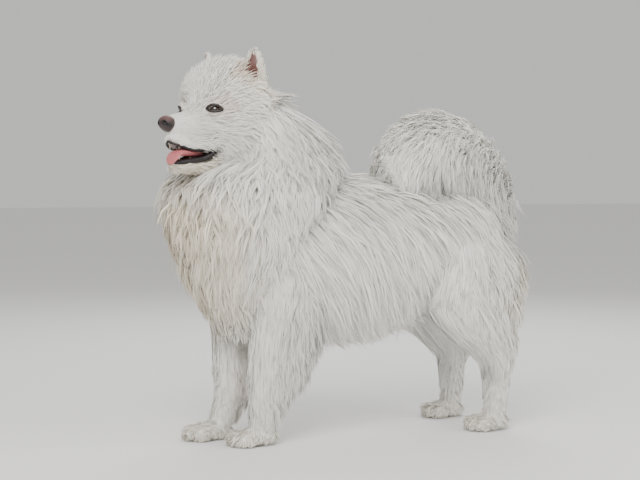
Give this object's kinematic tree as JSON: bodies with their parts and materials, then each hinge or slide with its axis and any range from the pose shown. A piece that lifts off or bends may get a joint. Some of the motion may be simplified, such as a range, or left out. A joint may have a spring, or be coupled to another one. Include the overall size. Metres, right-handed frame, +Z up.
{
  "type": "samoyed",
  "caption": "Life-size standing Samoyed dog with a thick white coat, upright ears, open mouth and a plumed tail curled over the back.",
  "frame": {"origin": "on the floor, under the middle of the whole dog's bounding box", "axes": "-Y towards the nose, +X towards the dog's left side, +Z up"},
  "size_m": [0.3788, 0.8962, 0.8244],
  "materials": {
    "coat": "soft warm white fur",
    "nose_leather": "dark moist pebbled skin",
    "eye": "wet dark brown",
    "tongue": "moist pink"
  },
  "bodies": {
    "root": {"chest": "coat", "ear_left": "coat", "ear_right": "coat", "eye_left": "eye", "eye_right": "eye", "foreleg_lower_left": "coat", "foreleg_lower_right": "coat", "foreleg_upper_left": "coat", "foreleg_upper_right": "coat", "forepaw_left": "coat", "forepaw_right": "coat", "head": "coat", "hindleg_lower_left": "coat", "hindleg_lower_right": "coat", "hindleg_upper_left": "coat", "hindleg_upper_right": "coat", "hindpaw_left": "coat", "hindpaw_right": "coat", "loin": "coat", "lower_jaw": "coat", "neck": "coat", "nose": "nose_leather", "tail_arch": "coat", "tail_end": "coat", "tail_root": "coat", "tongue": "tongue"}
  },
  "joints": []
}
